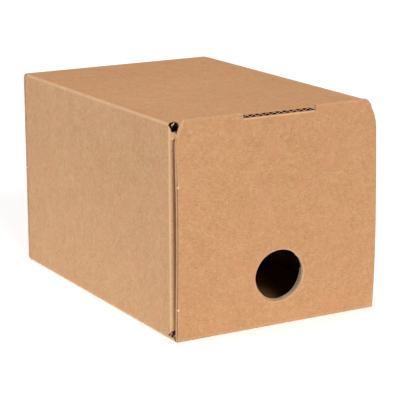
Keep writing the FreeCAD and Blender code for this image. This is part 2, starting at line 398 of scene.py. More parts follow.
# Numbers of the papers, in the order of PAPERS below.
# The fourth paper is near black: painted shade of the flute tunnels and the reliefs.
OUTSIDE, INSIDE, CUT_LIT, PAINTED_SHADE, TORN_SHADED = range(5)

# Cut edges: how wide a margin is pressed, the papers that the liners and the fluted sheet show
# there, those that the outer liner and the rest show where the cut runs along the flutes, whether
# the die has closed the flutes, and how frayed the edge is, from 0 to 1.
Cut = namedtuple("Cut", "width liner flute front along closed frayed")
OPEN_CUT = Cut(0.3, TORN_SHADED, TORN_SHADED, TORN_SHADED, TORN_SHADED, False, 1.0)
# The reliefs' raw edges take the near-black painted shade.
RELIEF_CUT = Cut(0.2, PAINTED_SHADE, PAINTED_SHADE, PAINTED_SHADE, PAINTED_SHADE, False, 0.1)
SLOT_CUT = Cut(0.3, TORN_SHADED, CUT_LIT, CUT_LIT, CUT_LIT, False, 1.0)
HOLE_CUT = Cut(1.2, CUT_LIT, CUT_LIT, CUT_LIT, CUT_LIT, True, 1.0)
# Where the flap's edge runs along the flutes, its outer liner's rim takes the painted shade.
EDGE_CUT = Cut(1.2, OUTSIDE, OUTSIDE, PAINTED_SHADE, INSIDE, True, 0.45)


class Papers:
    """Collects closed sheets of paper and makes one mesh of them."""

    def __init__(self):
        self.points, self.sheet, self.folds, self.worn = [], [], [], []
        self.faces, self.slots = [], []

    def vertex(self, point, sheet, folded=0.0, worn=0.0):
        """Adds a point in carton millimetres and returns its number."""
        self.points.append(to_row(*point))
        self.sheet.append(tuple(c * MM for c in sheet))
        self.folds.append(folded)
        self.worn.append(worn)
        return len(self.points) - 1

    def face(self, corners, slot):
        self.faces.append(corners)
        self.slots.append(slot)

    def add(self, cells, rims, pressed, low, high, board, slots):
        """One sheet between the depths low and high; pressed gives a point's share and cut."""
        index = {}

        def number(u, v, side):
            name = key((u, v)) + (side,)
            if name not in index:
                share, cut = pressed.get(name[:2], (0.0, OPEN_CUT))
                w = (low if side == 0 else high)(u, v, share, cut.closed)
                flat = board.blank(u, v)
                index[name] = self.vertex(
                    board.place(u, v, w), (flat[0], flat[1], w), board.fold(u, v),
                    share * cut.frayed,
                )
            return index[name]

        # Whether (u, v, w) is placed as a right-handed frame decides which way the faces run.
        u, v = cells[0][0]
        base = Vector(board.place(u, v, 0.0))
        step = 1e-3
        ends = ((u + step, v, 0.0), (u, v + step, 0.0), (u, v, step))
        along_u, along_v, along_w = (Vector(board.place(*end)) - base for end in ends)
        way = -1 if along_u.cross(along_v).dot(along_w) < 0 else 1
        for cell in cells:
            near = [number(u, v, 0) for u, v in cell]
            far = [number(u, v, 1) for u, v in cell]
            self.face(near[::-way], slots[0])
            self.face(far[::way], slots[1])
        for a, b, loop in rims:
            side = [number(*a, 0), number(*b, 0), number(*b, 1), number(*a, 1)]
            cut = board.cut(loop)
            across = cut.flute if slots == (PAINTED_SHADE, PAINTED_SHADE) else cut.liner
            along = cut.front if slots[0] == OUTSIDE else cut.along
            lengthwise = abs(a[0] - b[0]) < 0.3 * abs(a[1] - b[1])
            self.face(side[::way], along if lengthwise else across)

    def loft(self, rings, slot, last):
        """A closed skin through rings of points. The last side round it takes another paper."""
        size = len(rings[0])
        for a, b in zip(rings, rings[1:]):
            for i in range(size):
                j = (i + 1) % size
                self.face([a[i], a[j], b[j], b[i]], slot if i < size - 1 else last)
        self.face(rings[0][::-1], slot)
        self.face(rings[-1], slot)

    def build(self, name, materials):
        """The object, with what the materials read: sheet, folded and worn at each point."""
        mesh = bpy.data.meshes.new(name)
        mesh.from_pydata(self.points, [], self.faces)
        sheet = mesh.attributes.new("sheet", "FLOAT_VECTOR", "POINT")
        sheet.data.foreach_set("vector", [c for p in self.sheet for c in p])
        for label, values in (("folded", self.folds), ("worn", self.worn)):
            mesh.attributes.new(label, "FLOAT", "POINT").data.foreach_set("value", values)
        for material in materials:
            mesh.materials.append(material)
        mesh.polygons.foreach_set("material_index", self.slots)
        mesh.validate()
        mesh.shade_smooth()
        mesh.set_sharp_from_angle(angle=math.radians(30.0))
        return add_object(name, mesh)


def flute_lines(outline, crest):
    """Lines across the board at which the fluted sheet is sampled."""
    step = PITCH / FLUTE_STEPS
    places = [(u - crest) / step for u, v in outline]
    return [crest + i * step for i in range(math.ceil(min(places)), math.floor(max(places)) + 1)]


def outer_face(share):
    """Depth of the outer face where a cut edge is pressed by this share."""
    return PRESS_OUTSIDE * share * share


def inner_face(share):
    """The same for the inner face."""
    return BOARD - PRESS_INSIDE * share * share


class Board:
    """A corrugated board: its place, its place on the flat blank, its folds and its cuts.

    place(u, v, w) gives the carton point at the depth w below the outer face, blank(u, v) the
    point of the flat blank, and fold(u, v) how pale a fold is painted, whitened paper with a
    painted highlight, 0 being flat paper.
    joint(a, b) says whether a side of the outline runs on into the next board. A crest of the
    flutes, which run along v, lies at u = crest.
    """

    def __init__(
        self, place, blank=lambda u, v: (u, v), fold=lambda u, v: 0.0,
        joint=lambda a, b: False, crest=FLUTE_CREST, cuts=(EDGE_CUT,),
    ):
        self.place = place
        self.blank = blank
        self.fold = fold
        self.joint = joint
        self.crest = crest
        self.cuts = cuts

    def cut(self, loop):
        """How the outline (loop 0) or one of the holes is cut."""
        return self.cuts[min(loop, len(self.cuts) - 1)]

    def add(self, papers, loops, across=(), along=()):
        """Adds the two liners and the fluted sheet between them."""
        liners, flutes = papers
        outer = oriented(loops)
        widths = [
            [0.0 if self.joint(a, b) else self.cut(i).width for a, b in sides(loop)]
            for i, loop in enumerate(outer)
        ]
        inner = [inset(loop, width) for loop, width in zip(outer, widths)]

        def sheet(lines):
            cells, rims = cut_cells(inner, lines, along)
            rims, pressed = press_rims(cells, rims, outer, inner, widths)
            pressed = {k: (share, self.cut(i)) for k, (share, i) in pressed.items()}
            return cells, rims, pressed

        panel = sheet(across)
        # The liners' faces towards the flutes take the painted shade of the tunnels.
        liners.add(
            *panel, lambda u, v, share, closed: outer_face(share),
            lambda u, v, share, closed: outer_face(share) + LINER, self, (OUTSIDE, PAINTED_SHADE),
        )
        liners.add(
            *panel, lambda u, v, share, closed: inner_face(share) - LINER,
            lambda u, v, share, closed: inner_face(share), self, (PAINTED_SHADE, INSIDE),
        )

        def wave(side):
            """The depth of a face of the fluted sheet: -1 is the outer one, 1 the inner one."""
            def depth(u, v, share, closed):
                top, bottom = outer_face(share) + LINER, inner_face(share) - LINER
                swing = (bottom - top - FLUTE_PAPER) / 2
                turn = (u - self.crest) / PITCH * 2 * math.pi
                free = (top + bottom) / 2 - swing * math.cos(turn) + side * FLUTE_PAPER / 2
                # The die closes the flutes over the last third of the pressed margin.
                spread = eased(share * 3 - 2) if closed else 0.0
                full = (top if side < 0 else bottom) - side * PAPER_GAP
                return free + (full - free) * spread
            return depth

        panel = sheet(flute_lines(outer[0], self.crest))
        # The fluted sheet is near black: painted shade of its tunnels.
        flutes.add(*panel, wave(-1), wave(1), self, (PAINTED_SHADE, PAINTED_SHADE))


SHRED_TAPER = 0.6


def add_shred(liners, path, across, width, slot=CUT_LIT):
    """A torn shred of liner: a thin closed ribbon along the path, narrower at its end."""
    points = [Vector(p) for p in path]
    across = Vector(across).normalized()
    rings = []
    for i, point in enumerate(points):
        ahead = (points[min(i + 1, len(points) - 1)] - points[max(i - 1, 0)]).normalized()
        normal = ahead.cross(across).normalized() * LINER / 2
        side = across * width / 2 * (1.0 - SHRED_TAPER * i / (len(points) - 1))
        corners = (
            point - side - normal, point + side - normal,
            point + side + normal, point - side + normal,
        )
        rings.append([liners.vertex(tuple(c), (c.x, c.z, c.y)) for c in corners])
    liners.loft(rings, slot, slot)


# ---- paths


class Fold:
    """A path in a plane: straight, round a fold and straight on.

    Positions along it are measured at the middle of the board from the fold's start.
    start is the point of the outer face where the fold begins, ahead its direction there,
    and outward the direction the outer face looks; the path turns away from outward by angle.
    Where radius leaves too little room for the board, the crease is pressed thinner.
    """

    def __init__(self, start, ahead, outward, angle=90.0, radius=FOLD_OUTSIDE):
        self.start = Vector(start)
        self.ahead = Vector(ahead)
        self.outward = Vector(outward)
        self.angle = math.radians(angle)
        self.radius = radius
        self.squeeze = min(1.0, (radius - CREASE_CORE) / BOARD)
        self.middle = radius - self.squeeze * BOARD / 2
        self.length = self.middle * self.angle
        self.centre = self.start - self.outward * radius

    def away(self, s):
        """Distance from the fold along the path."""
        return max(0.0, -s, s - self.length)

    def at(self, s, w):
        """The point at s along the path and w below the outer face."""
        w *= 1.0 - (1.0 - self.squeeze) * eased(1.0 - self.away(s) / CREASE_FADE)
        if s <= 0:
            return self.start + self.ahead * s - self.outward * w
        turn = min(s / self.middle, self.angle)
        outward = self.outward * math.cos(turn) + self.ahead * math.sin(turn)
        point = self.centre + outward * (self.radius - w)
        if s > self.length:
            ahead = self.ahead * math.cos(turn) - self.outward * math.sin(turn)
            point = point + ahead * (s - self.length)
        return point

    def lines(self):
        """Positions at which boards along the path are cut."""
        out = [self.length * i / ARC_STEPS for i in range(ARC_STEPS + 1)]
        if self.squeeze < 1.0:
            out += [-fade for fade in FADES] + [self.length + fade for fade in FADES]
        return sorted(out)

    def upright(self, u, v, w):
        """The carton point, for a path in the plane of d and z; u is x."""
        d, z = self.at(v, w)
        return (u, d, z)

    def level(self, u, v, w):
        """The carton point, for a path in the plane of x and d; u is z."""
        x, d = self.at(v, w)
        return (x, d, u)

    def folded(self, s):
        """How pale the fold paints the outer liner at s, whitened paper with a painted highlight, 0
        being flat paper.
        """
        return max(0.0, 1.0 - self.away(s) / 0.9)

    def crest(self, s):
        """The same for a sharp crease, on its crest alone, where the painted highlight sits."""
        return max(0.0, 1.5 - abs(s - self.length * 0.6) / 0.5)

    def shoulder(self, s):
        """The same for a soft fold, mostly where it begins, as a painted highlight there."""
        return max(0.2 * self.folded(s), 1.1 - abs(s - 0.3) / 0.9)


# ---- materials


def srgb(red, green, blue):
    """The linear colour of an sRGB one given as 0 to 255."""
    out = []
    for c in (red, green, blue):
        c = c / 255
        out.append(c / 12.92 if c <= 0.04045 else ((c + 0.055) / 1.055) ** 2.4)
    return (*out, 1.0)


class Graph:
    """Small helper that adds and links the shader nodes of a material or a world."""

    def __init__(self, owner):
        self.owner = owner
        owner.use_nodes = True
        self.nodes = owner.node_tree.nodes
        self.links = owner.node_tree.links
        self.nodes.clear()

    def add(self, kind, inputs=None, **settings):
        node = self.nodes.new("ShaderNode" + kind)
        for name, value in settings.items():
            setattr(node, name, value)
        for name, value in (inputs or {}).items():
            if isinstance(value, bpy.types.NodeSocket):
                self.links.new(value, node.inputs[name])
            else:
                node.inputs[name].default_value = value
        return node

    def attribute(self, name, output="Fac"):
        return self.add("Attribute", attribute_name=name).outputs[output]

    def math(self, operation, first, second=0.0):
        inputs = {0: first, 1: second}
        return self.add("Math", inputs, operation=operation).outputs[0]

    def times(self, first, second):
        return self.math("MULTIPLY", first, second)

    def total(self, *values):
        out = values[0]
        for value in values[1:]:
            out = self.math("ADD", out, value)
        return out

    def mix(self, factor, first, second):
        """The colour second over first, by the factor."""
        inputs = {0: factor, 6: first, 7: second}
        return self.add("Mix", inputs, data_type="RGBA").outputs[2]

    def ramp(self, value, low, high, start=0.0, end=1.0):
        """From start where value is low to end where it is high, and held beyond them."""
        inputs = {"Value": value, "From Min": low, "From Max": high, "To Min": start, "To Max": end}
        return self.add("MapRange", inputs).outputs[0]

    def noise(self, vector, scale, stretch, detail, roughness, shift=0.0):
        """Noise whose scale along x is the share stretch of its scale elsewhere."""
        mapped = self.add("Mapping", {
            "Vector": vector, "Scale": (stretch, 1.0, 1.0),
            "Location": (shift, shift * 0.7, shift * 0.3),
        })
        return self.add("TexNoise", {
            "Vector": mapped.outputs[0], "Scale": scale, "Detail": detail, "Roughness": roughness,
        }).outputs[0]

    def by_camera(self, given, seen):
        """The shader seen for the camera, and given for all other rays."""
        camera = self.add("LightPath").outputs["Is Camera Ray"]
        inputs = {0: camera, 1: given.outputs[0], 2: seen.outputs[0]}
        return self.add("MixShader", inputs).outputs[0]

    def paper(self, shade, height, strength, distance, roughness, gloss):
        """Ends a material's graph as matte paper with this colour and relief."""
        bumped = self.add("Bump", {"Strength": strength, "Distance": distance, "Height": height})
        shader = self.add("BsdfPrincipled", {
            "Base Color": shade, "Roughness": roughness, "Normal": bumped.outputs[0],
            "Specular IOR Level": gloss,
        })
        self.add("OutputMaterial", {"Surface": shader.outputs[0]})
        return self.owner


def painted_edge_shade(g, across, down, deep):
    """A line of painted shade beside the outer flap's left edge, for the shadow at its outer
    liner's rim.

    across, down and deep are the place on the flat blank. The line fades out towards the flap's
    root and its rounded corner.
    """
    edge = FLAT_WIDTH / 2 - FLAP_LEFT
    line = g.ramp(across, (edge - 0.55) * MM, (edge - 0.25) * MM)
    for place, low, high, end in (
        (across, edge + 0.6, edge + 0.5, 1.0), (deep, 0.5, 0.3, 1.0),
        (down, -127.0, -110.0, 1.0), (down, 0.0, -4.0, 0.7),
    ):
        line = g.times(line, g.ramp(place, low * MM, high * MM, 0.0, end))
    return line


WARM = (168, 112, 72)
PALE = (236, 194, 154)

# The noises of the kraft's tone: scale, stretch, detail, roughness, shift, and weight in the tone.
TONES = (
    (800.0, 0.9, 3.0, 0.65, 0.0, 0.66), (1300.0, 0.30, 2.0, 0.6, 3.1, 0.30),
    (330.0, 0.9, 2.0, 0.5, 5.3, 0.32), (90.0, 0.8, 2.0, 0.5, 7.7, 0.17),
    (13.0, 0.8, 2.0, 0.5, 1.3, 0.12),
)


def kraft(name, colour, speckle=1.0):
    """Unbleached kraft paper: mottling, fine fibres, specks, paler cut edges, paler folds with a
    painted highlight, and a painted shade line.
    """
    g = Graph(bpy.data.materials.new(name))
    sheet = g.attribute("sheet", "Vector")
    across, down, deep = g.add("SeparateXYZ", {"Vector": sheet}).outputs
    noises = [g.noise(sheet, *row[:-1]) for row in TONES]
    swings = [g.math("SUBTRACT", noise, 0.5) for noise in noises]
    tone = g.total(*(g.times(a, row[-1] * speckle) for a, row in zip(swings, TONES)))
    shade = g.mix(g.ramp(tone, 0.0, -0.45), srgb(*colour), srgb(*WARM))
    shade = g.mix(g.ramp(tone, 0.0, 0.45), shade, srgb(*PALE))
    # Patches that lean to red.
    hue = g.noise(sheet, 95.0, 1.0, 2.0, 0.5, 21.0)
    redder = tuple(c + d for c, d in zip(colour, (7, -3, 3)))
    shade = g.mix(g.ramp(hue, 0.50, 0.72, 0.0, 0.6), shade, srgb(*redder))
    # Stray fibres, dark and pale, and dark specks.
    hairs = g.noise(sheet, 1000.0, 0.35, 1.0, 0.4, 12.9)
    shade = g.mix(g.ramp(hairs, 0.70, 0.80, 0.0, 0.40), shade, srgb(132, 84, 52))
    shade = g.mix(g.ramp(hairs, 0.31, 0.22, 0.0, 0.35), shade, srgb(240, 206, 168))
    flecks = g.add("TexVoronoi", {"Vector": sheet, "Scale": 60.0}).outputs["Distance"]
    shade = g.mix(g.ramp(flecks, 0.050, 0.03, 0.0, 0.35), shade, srgb(96, 62, 42))
    # Paper bruised at a cut edge shows paler. Over a fold it is paler too, whitened and with a
    # painted highlight.
    scuffs = g.ramp(g.noise(sheet, 260.0, 1.0, 3.0, 0.7, 9.2), 0.42, 0.60)
    bruised = g.times(g.attribute("worn"), g.ramp(scuffs, 0, 1, 0.5, 1.0))
    shade = g.mix(g.times(g.attribute("folded"), 0.62), shade, srgb(*PALE))
    shade = g.mix(g.times(bruised, 0.8), shade, srgb(*PALE))
    # Painted shade: a dark line beside the flap's left edge, for the shadow at its liner's rim.
    shade = g.mix(painted_edge_shade(g, across, down, deep), shade, srgb(116, 78, 52))
    # The liner dips a little between the crests of the fluted sheet.
    crest = (TOP_CENTRE_U + FLUTE_CREST) * MM
    turn = g.times(g.math("SUBTRACT", across, crest), 2 * math.pi / (PITCH * MM))
    washboard = g.math("COSINE", turn)
    grain, fibres = noises[:2]
    height = g.total(g.times(grain, 0.7), g.times(fibres, 0.4), g.times(washboard, 0.055))
    return g.paper(shade, height, 0.12, 0.0008, 0.88, 0.10)


def raw_edge(name, colour, dark, frayed=None):
    """Cut or torn paper, some with painted light or shade in its colour: fibrous and matte. Where
    it is pressed at a cut it takes frayed.
    """
    g = Graph(bpy.data.materials.new(name))
    where = g.add("TexCoord").outputs["Object"]
    fuzz = g.noise(where, 900.0, 1.0, 3.0, 0.7)
    patches = g.noise(where, 160.0, 1.0, 2.0, 0.5, 5.0)
    mixed = g.total(g.times(fuzz, 0.6), g.times(patches, 0.4))
    shade = g.mix(g.ramp(mixed, 0.36, 0.60), srgb(*dark), srgb(*colour))
    if frayed:
        shade = g.mix(g.attribute("worn"), shade, srgb(*frayed))
    return g.paper(shade, fuzz, 0.25, 0.0004, 0.95, 0.08)


# ---- the tube


# The walls are one strip, u millimetres along it: bottom from the right, left, top and right wall,
# with a quarter turn after each. The right wall stops SEAM_SHARE of a turn short of the bottom one.
CREASE_SQUEEZE = (CREASE_RADIUS - CREASE_CORE) / BOARD
CREASE_MIDDLE = CREASE_RADIUS - CREASE_SQUEEZE * BOARD / 2
QUARTER = CREASE_MIDDLE * math.pi / 2
FLAT_WIDTH = (HALF_WIDTH - CREASE_RADIUS) * 2
FLAT_HEIGHT = HEIGHT - CREASE_RADIUS * 2
LEFT_U = FLAT_WIDTH + QUARTER
TOP_U = LEFT_U + FLAT_HEIGHT + QUARTER
RIGHT_U = TOP_U + FLAT_WIDTH + QUARTER
GIRTH = RIGHT_U + FLAT_HEIGHT + QUARTER
TOP_CENTRE_U = TOP_U + FLAT_WIDTH / 2
CORNERS = (FLAT_WIDTH, LEFT_U + FLAT_HEIGHT, TOP_U + FLAT_WIDTH, GIRTH - QUARTER)
SEAM_SHARE = 0.18
STRIP_RISE = 1.0
STRIP = QUARTER + STRIP_RISE
WALL_TOP = HEIGHT - CREASE_RADIUS
TUBE_CREST = (TOP_CENTRE_U + FLUTE_CREST) % PITCH
WALLS = (
    ((HALF_WIDTH - CREASE_RADIUS, 0.0), (-1.0, 0.0), FLAT_WIDTH),
    ((-HALF_WIDTH, CREASE_RADIUS), (0.0, 1.0), FLAT_HEIGHT),
    ((-HALF_WIDTH + CREASE_RADIUS, HEIGHT), (1.0, 0.0), FLAT_WIDTH),
    ((HALF_WIDTH, WALL_TOP), (0.0, -1.0), FLAT_HEIGHT),
)

PAPERS = (
    kraft("kraft_outside", (208, 158, 116)),
    # A darker copy of the kraft: painted shade for the board's inner faces.
    kraft("kraft_inside_shaded", (190, 139, 99), 1.1),
    # Near white: cut fibres are paler than the face, and they are brightened further as painted
    # light on rims that lie in shade.
    raw_edge("cut_paper_lit", (255, 228, 206), (234, 194, 164)),
    # Near black: painted shade of the flute tunnels. Where frayed at a cut, it shows the paper's
    # own colour.
    raw_edge("flute_paper_painted_shade", (62, 40, 26), (38, 25, 17), (196, 152, 116)),
    # Darker than the kraft: painted shade for raw edges that lie in shadow.
    raw_edge("torn_paper_shaded", (196, 150, 112), (158, 116, 82)),
)


def corner_away(u):
    """Distance along the girth to the nearest long crease."""
    middles = [c + QUARTER / 2 for c in CORNERS] + [QUARTER / -2]
    return max(0.0, min(abs(u - m) for m in middles) - QUARTER / 2)


def around(u, v, w):
    """The tube's walls: u runs round it from the bottom right corner, v is the depth."""
    w *= 1.0 - (1.0 - CREASE_SQUEEZE) * eased(1.0 - corner_away(u) / CREASE_FADE)
    if u < 0:
        u += GIRTH
    for start, ahead, length in WALLS:
        outward = (-ahead[1], ahead[0])
        if u <= length + 1e-9:
            x, z = (start[i] + ahead[i] * u - outward[i] * w for i in (0, 1))
            return (x, v, z)
        u -= length
        if u < QUARTER:
            turn = u / CREASE_MIDDLE
            centre = [start[i] + ahead[i] * length - outward[i] * CREASE_RADIUS for i in (0, 1)]
            look = [outward[i] * math.cos(turn) + ahead[i] * math.sin(turn) for i in (0, 1)]
            reach = CREASE_RADIUS - w
            return (centre[0] + look[0] * reach, v, centre[1] + look[1] * reach)
        u -= QUARTER
    raise ValueError("past the tube's last corner")


def corner_lines():
    """Lines along the long creases, at which the walls are cut."""
    lines = []
    for c in CORNERS + (-QUARTER,):
        lines += [c + QUARTER * i / ARC_STEPS for i in range(ARC_STEPS + 1)]
        lines += [c - fade for fade in FADES] + [c + QUARTER + fade for fade in FADES]
    return lines


def corner_folded(u, v):
    """How pale the long creases are painted: whitened liner with a painted highlight."""
    return max(0.0, 0.6 - corner_away(u) / 1.2)


def side_u(side, z):
    """The place u on the strip of the left (side -1) or right wall (side 1) at the height z."""
    return LEFT_U + z - CREASE_RADIUS if side < 0 else RIGHT_U + WALL_TOP - z


def joins_at(*places):
    """Tells the sides of an outline along these places v, where the next board goes on."""
    return lambda a, b: same(a[1], b[1]) and any(same(a[1], v, 1e-5) for v in places)


def make_tube(papers):
    """The four walls, from the front reliefs to the back folds."""
    left_top = LEFT_U + FLAT_HEIGHT
    right_top = TOP_U + FLAT_WIDTH
    seam = GIRTH - QUARTER * SEAM_SHARE
    outline = [(0.0, TUBE_FRONT), (left_top, TUBE_FRONT), (left_top, LEFT_RELIEF)]
    outline += [(TOP_U + away, d) for away, d in LEFT_NOTCH]
    outline += [(TOP_U + RELIEF_WIDTH, TUBE_FRONT), (right_top - RELIEF_WIDTH, TUBE_FRONT)]
    outline += [(right_top - away, d) for away, d in reversed(RIGHT_NOTCH)]
    outline += [(RIGHT_U, RIGHT_RELIEF), (RIGHT_U, TUBE_FRONT), (seam, TUBE_FRONT)]
    outline += [(seam, TUBE_BACK), (0.0, TUBE_BACK)]

    def joint(a, b):
        creases = (0.0, seam, left_top, RIGHT_U)
        lengthwise = same(a[0], b[0], 1e-5) and any(same(a[0], u, 1e-5) for u in creases)
        return lengthwise or joins_at(TUBE_FRONT, TUBE_BACK)(a, b)

    board = Board(around, fold=corner_folded, joint=joint, crest=TUBE_CREST, cuts=(RELIEF_CUT,))
    board.add(papers, [outline], corner_lines())


def make_front_top(papers):
    """Top wall's front, its fold and the inner flap, with the tab slot and the tap's way."""
    start = INNER_FACE + FOLD_OUTSIDE
    fold = Fold((start, HEIGHT), (-1.0, 0.0), (0.0, 1.0))

    def height(z):
        """The place v along the path at the height z of the inner flap."""
        return fold.length + HEIGHT - FOLD_OUTSIDE - z

    joint = start - TUBE_FRONT
    # The die cut the flap a little wider just below its fold.
    side = [
        (FLAT_WIDTH / 2 - RELIEF_WIDTH, joint), (INNER_HALF - 2.0, joint + 1.6),
        (INNER_HALF - 0.2, -0.4), (INNER_HALF + 1.1, 2.6), (INNER_HALF, height(140.0)),
        (INNER_HALF, height(INNER_FOOT + INNER_CORNER)),
        (INNER_HALF - INNER_CORNER, height(INNER_FOOT)),
    ]
    wide = THROAT_RADIUS + THROAT_SHOULDER
    shoulder = height(THROAT_HEIGHT + 0.5)
    upper = height(THROAT_HEIGHT + THROAT_RISE)
    left = [
        (-THROAT_RADIUS, shoulder), (-wide, shoulder), (-wide, upper + THROAT_CORNER),
        (-wide + THROAT_CORNER, upper),
    ]
    throat = arc((0.0, height(THROAT_HEIGHT)), THROAT_RADIUS, 0, 180, 48)
    throat = [(u + THROAT_SHIFT, v) for u, v in throat + left + mirrored(left)]
    slot = [
        (-SLOT_HALF, start - SLOT_BACK), (SLOT_HALF, start - SLOT_BACK),
        (SLOT_HALF, height(SLOT_FLOOR)), (-SLOT_HALF, height(SLOT_FLOOR)),
    ]
    board = Board(
        fold.upright, lambda u, v: (TOP_CENTRE_U + u, start - v),
        lambda u, v: fold.folded(v) * 0.4, joins_at(joint), cuts=(OPEN_CUT, HOLE_CUT, SLOT_CUT),
    )
    board.add(papers, [side + mirrored(side), throat, slot], (), fold.lines())


def make_dust_flap(papers, side):
    """A side wall's front, its fold and the dust flap behind the inner flap."""
    start = DUST_FACE + DUST_FOLD
    fold = Fold((side * HALF_WIDTH, start), (0.0, -1.0), (side, 0.0), 90.0, DUST_FOLD)
    joint = start - TUBE_FRONT
    end = fold.length + HALF_WIDTH - DUST_FOLD - DUST_END
    foot = CREASE_RADIUS + STRIP_RISE
    relief = LEFT_RELIEF if side < 0 else RIGHT_RELIEF
    # Up the flap's outline: its foot, its narrower end, and a shoulder at its fold.
    outline = [
        (foot, joint), (4.6, 0.0), (6.3, 0.7), (DUST_BOTTOM, fold.length),
        (DUST_BOTTOM + 2.0, end - 4.0), (DUST_BOTTOM + 6.0, end), (DUST_TOP - 6.0, end),
        (DUST_TOP - 2.0, end - 4.0), (DUST_TOP, fold.length + 1.5), (DUST_TOP - 0.2, 1.3),
        (DUST_TOP + 2.4, 0.9), (WALL_TOP, start - relief), (WALL_TOP, joint),
    ]

    def is_joint(a, b):
        at_top = same(a[0], WALL_TOP, 1e-5) and same(b[0], WALL_TOP, 1e-5)
        return at_top or joins_at(joint)(a, b)

    board = Board(
        fold.level, lambda u, v: (side_u(side, u), start - v), lambda u, v: fold.shoulder(v),
        is_joint, SIDE_CREST, (RELIEF_CUT,),
    )
    board.add(papers, [outline], (), fold.lines())


def make_sill(papers):
    """Front of the bottom wall, up to the crease of the outer flap, with its turned-up sides."""
    outline = [
        (-STRIP, TUBE_FRONT), (-STRIP, INNER_FACE), (FLAT_WIDTH + STRIP, INNER_FACE),
        (FLAT_WIDTH + STRIP, TUBE_FRONT),
    ]
    board = Board(
        around, fold=corner_folded, joint=joins_at(TUBE_FRONT, INNER_FACE), crest=TUBE_CREST,
        cuts=(RELIEF_CUT,),
    )
    lines = [u for u in corner_lines() if u < LEFT_U + CREASE_FADE + 0.1]
    board.add(papers, [outline], lines)


def make_back_flap(papers, side):
    """A back outer flap, folded from the top (side 1) or bottom wall (side -1)."""
    wall = HEIGHT if side > 0 else 0.0
    start = DEPTH - CREASE_RADIUS
    fold = Fold((start, wall), (1.0, 0.0), (0.0, side), 90.0, CREASE_RADIUS)
    joint = TUBE_BACK - start
    end = fold.length + HEIGHT / 2 - BACK_SEAM / 2 - CREASE_RADIUS
    flat = FLAT_WIDTH / 2
    wide = HALF_WIDTH - EDGE_INSET
    right = [(flat, joint), (flat, 0.0), (wide - 0.4, fold.length), (wide, fold.length + 1.5)]
    right += [(wide, end)]
    middle = TOP_CENTRE_U if side > 0 else FLAT_WIDTH / 2
    board = Board(
        fold.upright, lambda u, v: (middle + side * u, start + v),
        lambda u, v: fold.folded(v) * 0.5, joins_at(joint),
    )
    board.add(papers, [right + mirrored(right)], (), fold.lines())


def make_back_dust_flap(papers, side):
    """A back dust flap, glued to the inside of the outer ones."""
    face = DEPTH - BOARD + GLUE_PRESS
    start = face - CREASE_RADIUS
    fold = Fold((side * HALF_WIDTH, start), (0.0, 1.0), (side, 0.0), 90.0, CREASE_RADIUS)
    joint = TUBE_BACK - start
    end = fold.length + HALF_WIDTH - CREASE_RADIUS - BACK_DUST_END
    low, high = CREASE_RADIUS, WALL_TOP
    outline = [(low, joint), (high, joint), (high, end), (low, end)]
    board = Board(
        fold.level, lambda u, v: (side_u(side, u), start + v),
        lambda u, v: fold.folded(v) * 0.5, joins_at(joint), SIDE_CREST,
    )
    board.add(papers, [outline], (), fold.lines())


def make_glue_lap(papers):
    """The lap that joins the bottom wall to the inside of the right wall."""
    outer = HALF_WIDTH - BOARD + GLUE_PRESS
    foot = BOARD + FOLD_INSIDE * 2
    top = BOARD + LAP_WIDTH
    front, back = TUBE_FRONT + LAP_INSET, TUBE_BACK - LAP_INSET
    outline = [(foot, front), (top, front + LAP_TAPER), (top, back - LAP_TAPER), (foot, back)]
    board = Board(lambda u, v, w: (outer - w, v, u), crest=SIDE_CREST)
    board.add(papers, [outline])


def make_shreds(liners):
    """Torn bits of paper where the corner reliefs were cut."""
    left = -HALF_WIDTH
    shred = [
        (left + 2.6, 9.7, 150.4), (left + 3.7, 10.0, 150.9), (left + 4.8, 10.6, 151.4),
        (left + 5.8, 11.6, 151.9),
    ]
    add_shred(liners, shred, (0.2, 1.0, 0.3), 1.1)
    # A tongue of the dust flap's liner that reaches forward at the flap's top.
    tongue = [
        (left + 0.9, 7.3, 143.2), (left + 1.6, 6.2, 143.7), (left + 2.1, 4.6, 144.1),
        (left + 2.7, 3.1, 144.3),
    ]
    add_shred(liners, tongue, (0.1, 0.0, 1.0), 6.8, OUTSIDE)
    # Two that stand up from the bottom corner's relief.
    low = 2.2
    for reach, foot in ((3.6, 9.8), (2.6, 5.6)):
        lean = rng.uniform(0.6, 1.4)
        path = [
            (left + 0.5, foot, low), (left + 0.9, foot - lean * 0.5, low + reach * 0.5),
            (left + 1.6, foot - lean * 1.4, low + reach),
        ]
        add_shred(liners, path, (0.1, 1.0, 0.2), rng.uniform(0.5, 0.8))


# ---- the outer flap


def bow(x, z):
    """How far the closed outer flap bulges forward at x and z."""
    share = min(1.0, max(0.0, (z - BOARD / 2) / BOW_HEIGHT))
    lean = BOW_PEAK - BOW_TWIST * x / FLAP_HALF
    held = math.sin(math.pi * share ** lean)
    return held * (BOW_DEPTH + BOW_TILT * x / FLAP_HALF)


TAB_ANGLE = 90.0 + math.degrees(math.atan(TAB_FALL))
TAB_SLANT = math.sqrt(1 + TAB_FALL * TAB_FALL)
TAB_ROOT_D = CREASE_RADIUS * (1 + TAB_FALL / TAB_SLANT)
TAB_HEIGHT = HEIGHT - BOARD - TAB_CLEARANCE
TAB_CENTRE = TAB_HEIGHT + (SLOT_BACK - TAB_ROOT_D) * TAB_FALL - CREASE_RADIUS / TAB_SLANT


def flap_blank(u, v):
    """The outer flap hangs below the bottom wall's front edge on the flat blank."""
    return (FLAT_WIDTH / 2 - u, -v)


